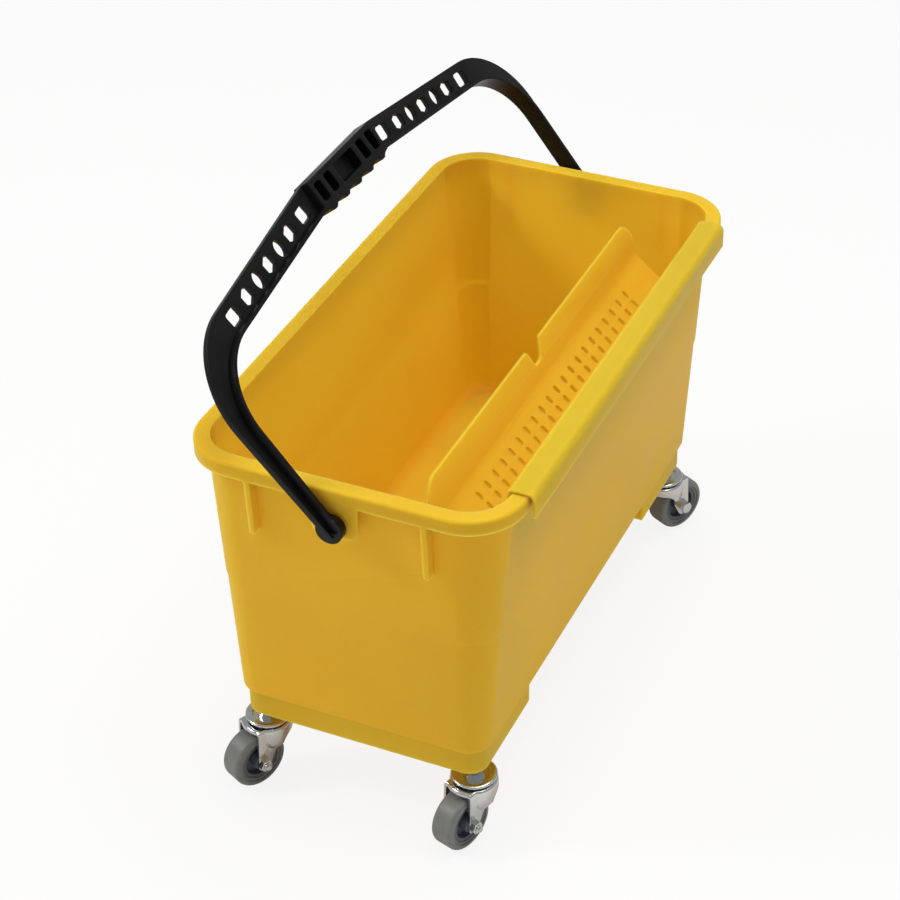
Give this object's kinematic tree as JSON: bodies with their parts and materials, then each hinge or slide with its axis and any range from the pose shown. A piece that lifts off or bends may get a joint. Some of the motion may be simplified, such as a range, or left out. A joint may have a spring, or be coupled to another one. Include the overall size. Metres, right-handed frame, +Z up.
{
  "type": "squeegee bucket",
  "caption": "Rectangular plastic squeegee bucket on swivel castors, with a drain sieve hooked over one long rim and a swinging bail handle.",
  "frame": {"origin": "on the floor, under the centre of the bucket", "axes": "+X along the bucket, from the front end to the rear end; +Y to the left side, away from the sieve; +Z up"},
  "size_m": [0.5574, 0.277, 0.4694],
  "materials": {
    "yellow_plastic": "satin moulded polypropylene",
    "black_plastic": "semi-gloss moulded polypropylene",
    "zinc_steel": "bright zinc plated pressed steel",
    "grey_rubber": "matt non-marking rubber",
    "hub_plastic": "matt moulded plastic",
    "insert_brass": "plain"
  },
  "bodies": {
    "bucket": {"bucket_body": "yellow_plastic", "castor_inserts": "insert_brass", "front_left_stem": "zinc_steel", "front_left_top_race": "zinc_steel", "front_left_king_washer": "zinc_steel", "front_right_stem": "zinc_steel", "front_right_top_race": "zinc_steel", "front_right_king_washer": "zinc_steel", "rear_left_stem": "zinc_steel", "rear_left_top_race": "zinc_steel", "rear_left_king_washer": "zinc_steel", "rear_right_stem": "zinc_steel", "rear_right_top_race": "zinc_steel", "rear_right_king_washer": "zinc_steel"},
    "sieve": {"sieve": "yellow_plastic"},
    "handle": {"handle": "black_plastic"},
    "front_left_castor": {"front_left_fork": "zinc_steel", "front_left_balls": "zinc_steel", "front_left_axle_bolt": "zinc_steel", "front_left_axle_nut": "zinc_steel", "front_left_axle_sleeve": "zinc_steel"},
    "front_left_wheel": {"front_left_wheel_hub": "hub_plastic", "front_left_tyre": "grey_rubber"},
    "front_right_castor": {"front_right_fork": "zinc_steel", "front_right_balls": "zinc_steel", "front_right_axle_bolt": "zinc_steel", "front_right_axle_nut": "zinc_steel", "front_right_axle_sleeve": "zinc_steel"},
    "front_right_wheel": {"front_right_wheel_hub": "hub_plastic", "front_right_tyre": "grey_rubber"},
    "rear_left_castor": {"rear_left_fork": "zinc_steel", "rear_left_balls": "zinc_steel", "rear_left_axle_bolt": "zinc_steel", "rear_left_axle_nut": "zinc_steel", "rear_left_axle_sleeve": "zinc_steel"},
    "rear_left_wheel": {"rear_left_wheel_hub": "hub_plastic", "rear_left_tyre": "grey_rubber"},
    "rear_right_castor": {"rear_right_fork": "zinc_steel", "rear_right_balls": "zinc_steel", "rear_right_axle_bolt": "zinc_steel", "rear_right_axle_nut": "zinc_steel", "rear_right_axle_sleeve": "zinc_steel"},
    "rear_right_wheel": {"rear_right_wheel_hub": "hub_plastic", "rear_right_tyre": "grey_rubber"}
  },
  "joints": [
    {"name": "handle_swing", "type": "hinge", "parent": "bucket", "child": "handle", "pos_m": [0, 0, 0.3117], "axis": [1, 0, 0], "range_deg": [-85, 162]},
    {"name": "sieve_lift", "type": "slide", "parent": "bucket", "child": "sieve", "axis": [0, 0, 1], "range_m": [0, 0.09]},
    {"name": "front_left_swivel", "type": "hinge", "parent": "bucket", "child": "front_left_castor", "pos_m": [-0.2185, 0.0925, 0.055], "axis": [0, 0, 1], "continuous": true},
    {"name": "front_left_roll", "type": "hinge", "parent": "front_left_castor", "child": "front_left_wheel", "pos_m": [-0.23419, 0.10025, 0.025], "axis": [-0.4431, -0.8965, 0], "continuous": true},
    {"name": "front_right_swivel", "type": "hinge", "parent": "bucket", "child": "front_right_castor", "pos_m": [-0.2185, -0.0925, 0.055], "axis": [0, 0, 1], "continuous": true},
    {"name": "front_right_roll", "type": "hinge", "parent": "front_right_castor", "child": "front_right_wheel", "pos_m": [-0.23522, -0.08732, 0.025], "axis": [-0.2957, -0.9553, 0], "continuous": true},
    {"name": "rear_left_swivel", "type": "hinge", "parent": "bucket", "child": "rear_left_castor", "pos_m": [0.2185, 0.0925, 0.055], "axis": [0, 0, 1], "continuous": true},
    {"name": "rear_left_roll", "type": "hinge", "parent": "rear_left_castor", "child": "rear_left_wheel", "pos_m": [0.23494, 0.08651, 0.025], "axis": [0.342, 0.9397, 0], "continuous": true},
    {"name": "rear_right_swivel", "type": "hinge", "parent": "bucket", "child": "rear_right_castor", "pos_m": [0.2185, -0.0925, 0.055], "axis": [0, 0, 1], "continuous": true},
    {"name": "rear_right_roll", "type": "hinge", "parent": "rear_right_castor", "child": "rear_right_wheel", "pos_m": [0.23402, -0.10058, 0.025], "axis": [0.4617, 0.887, 0], "continuous": true}
  ]
}
